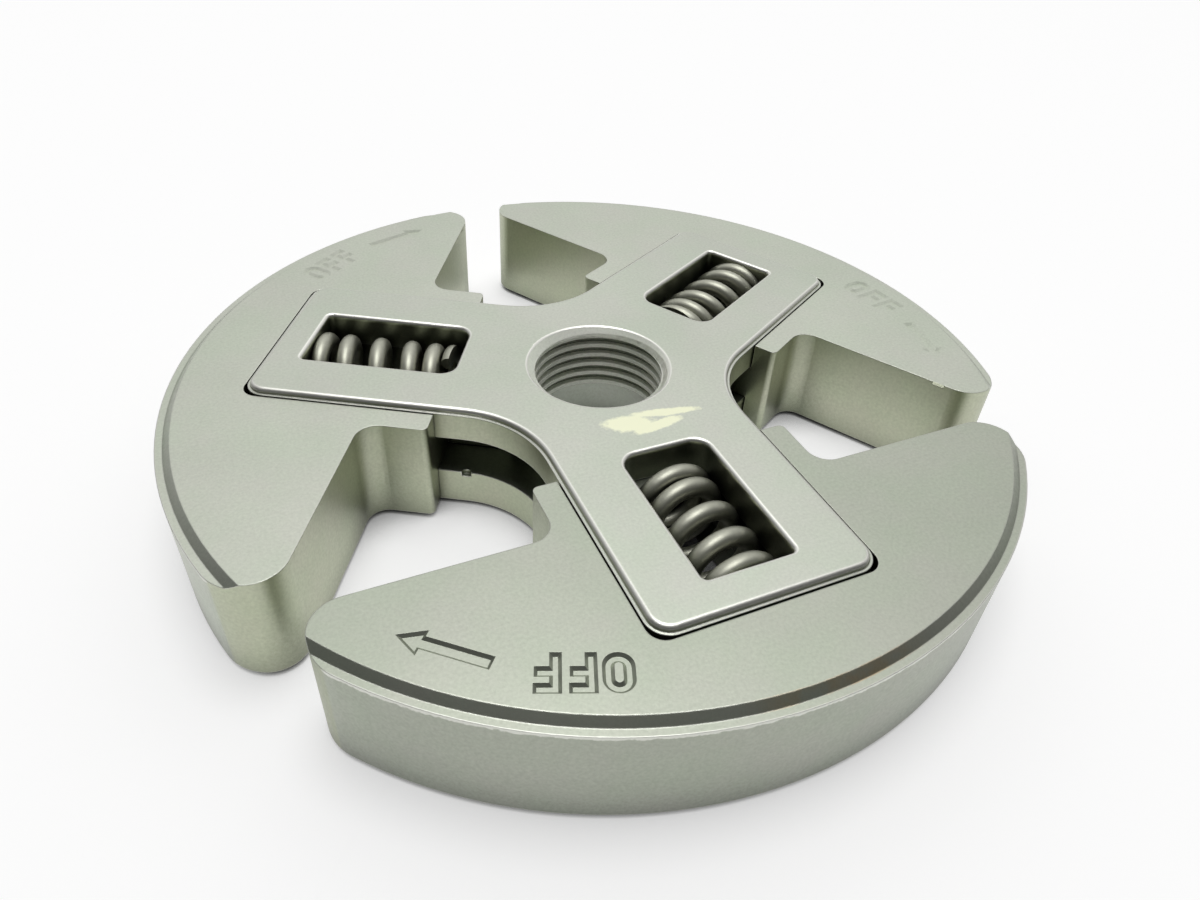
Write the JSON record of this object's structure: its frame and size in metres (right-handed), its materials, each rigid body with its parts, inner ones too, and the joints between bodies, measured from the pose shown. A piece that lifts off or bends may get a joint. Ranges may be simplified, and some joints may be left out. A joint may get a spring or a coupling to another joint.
{
  "type": "chainsaw clutch",
  "caption": "Centrifugal clutch with friction shoes that slide outwards on the arms of a star-shaped spider against compression springs, and a threaded bore for the crankshaft.",
  "frame": {"origin": "on the axis of the threaded bore, halfway between the two faces of the spider", "axes": "+Z along the bore, out of the face that carries the unscrewing mark; -Y along the first arm; the shaft leaves along -Z"},
  "size_m": [0.0706, 0.0702, 0.01],
  "materials": {
    "sintered_steel": "satin, tumbled, with brighter edges",
    "spring_steel": "oil-dark wire"
  },
  "bodies": {
    "spider": {"spider": "sintered_steel", "spring_1": "spring_steel", "spring_2": "spring_steel", "spring_3": "spring_steel"},
    "shoe_1": {"shoe_1": "sintered_steel"},
    "shoe_2": {"shoe_2": "sintered_steel"},
    "shoe_3": {"shoe_3": "sintered_steel"}
  },
  "joints": [
    {"name": "shoe_1_slide", "type": "slide", "parent": "spider", "child": "shoe_1", "axis": [0, -1, 0], "range_m": [0, 0.0012], "stiffness_N_per_m": 3000, "springref_m": -0.0005, "deforming": ["spring_1"]},
    {"name": "shoe_2_slide", "type": "slide", "parent": "spider", "child": "shoe_2", "axis": [0.866, 0.5, 0], "range_m": [0, 0.0012], "stiffness_N_per_m": 3000, "springref_m": -0.0005, "deforming": ["spring_2"]},
    {"name": "shoe_3_slide", "type": "slide", "parent": "spider", "child": "shoe_3", "axis": [-0.866, 0.5, 0], "range_m": [0, 0.0012], "stiffness_N_per_m": 3000, "springref_m": -0.0005, "deforming": ["spring_3"]}
  ]
}
